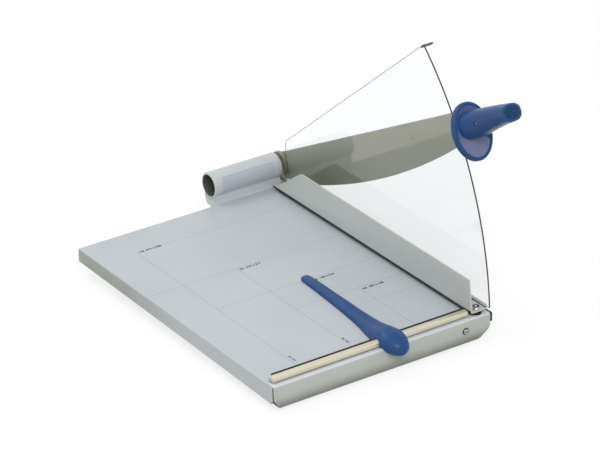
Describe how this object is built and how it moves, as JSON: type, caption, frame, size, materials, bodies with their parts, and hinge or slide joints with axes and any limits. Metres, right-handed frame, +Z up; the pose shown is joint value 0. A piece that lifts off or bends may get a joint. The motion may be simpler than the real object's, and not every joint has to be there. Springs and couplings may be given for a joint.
{
  "type": "guillotine paper cutter",
  "caption": "Desk paper cutter: folded table with rail and sliding gauge, fixed blade, hinged arm with finger guard and grip, cam-pressed clamp with a clear guard.",
  "frame": {"origin": "centre of the bounding box in plan, on the plane the feet stand on", "axes": "+X to the cutting side on the right, +Y away from the user towards the pivot, +Z up"},
  "size_m": [0.387, 0.5906, 0.3864],
  "materials": {
    "table_paint": "satin powder coat",
    "frame_paint": "satin powder coat",
    "clamp_paint": "satin powder coat",
    "housing_paint": "satin powder coat",
    "anodised": "champagne anodised, brushed along its length",
    "blue_plastic": "moulded, softly glossy",
    "ground_steel": "ground and polished",
    "plated_steel": "zinc plated",
    "blackened_steel": "blackened",
    "bar_alloy": "drawn",
    "bronze": "plain bearing bronze",
    "rubber": "matt",
    "clear_sheet": "clear polycarbonate sheet",
    "nylon": "moulded"
  },
  "bodies": {
    "base": {"table_plate": "table_paint", "front_channel": "frame_paint", "side_beam": "frame_paint", "front_bracket": "frame_paint", "front_screw": "plated_steel", "cross_rib_1": "frame_paint", "cross_rib_2": "frame_paint", "cross_rib_3": "frame_paint", "foot_1": "rubber", "foot_2": "rubber", "foot_3": "rubber", "foot_4": "rubber", "fixed_blade": "blackened_steel", "fixed_blade_screw_1": "blackened_steel", "fixed_blade_screw_2": "blackened_steel", "fixed_blade_screw_3": "blackened_steel", "fixed_blade_screw_4": "blackened_steel", "paper_rail": "anodised", "rail_gasket": "rubber", "rail_screw_1": "plated_steel", "rail_screw_2": "plated_steel", "rail_screw_3": "plated_steel", "pivot_housing": "housing_paint", "housing_bolt_1": "plated_steel", "housing_bolt_2": "plated_steel", "housing_bolt_3": "plated_steel", "bush_right": "bronze", "bush_left": "bronze", "pivot_spring": "plated_steel", "guide_bush_front": "bronze", "guide_bush_rear": "bronze"},
    "clamp": {"clamp_bar": "clamp_paint", "clamp_rubber": "rubber", "guide_pin_front": "plated_steel", "guide_pin_rear": "plated_steel", "clamp_spring_front": "plated_steel", "clamp_spring_rear": "plated_steel", "shield": "clear_sheet", "shield_screw_1": "plated_steel", "shield_screw_2": "plated_steel", "shield_screw_3": "plated_steel"},
    "arm": {"blade": "ground_steel", "blade_screw_1": "plated_steel", "blade_screw_2": "plated_steel", "arm_bar": "bar_alloy", "finger_guard": "blue_plastic", "handle_grip": "blue_plastic", "handle_screw": "plated_steel", "pivot_shaft": "plated_steel", "spring_washer": "plated_steel", "lock_nut": "plated_steel", "thrust_washer": "ground_steel", "hub_nut": "plated_steel", "clamp_cam": "plated_steel"},
    "gauge": {"gauge_arm": "blue_plastic", "gauge_shoe": "nylon", "gauge_spring": "plated_steel"}
  },
  "joints": [
    {"name": "arm_pivot", "type": "hinge", "parent": "base", "child": "arm", "pos_m": [0.164, 0.27482, 0.0655], "axis": [1, 0, 0], "range_deg": [-11, 27]},
    {"name": "clamp_press", "type": "slide", "parent": "base", "child": "clamp", "axis": [0, 0, -1], "range_m": [-0.0017, 0.0041], "deforming": ["clamp_spring_front", "clamp_spring_rear"]},
    {"name": "gauge_slide", "type": "slide", "parent": "base", "child": "gauge", "axis": [1, 0, 0], "range_m": [-0.16, 0.095]}
  ],
  "couplings": [
    {"joint": "clamp_press", "follows": "arm_pivot", "m_per_rad": 0.00849}
  ]
}
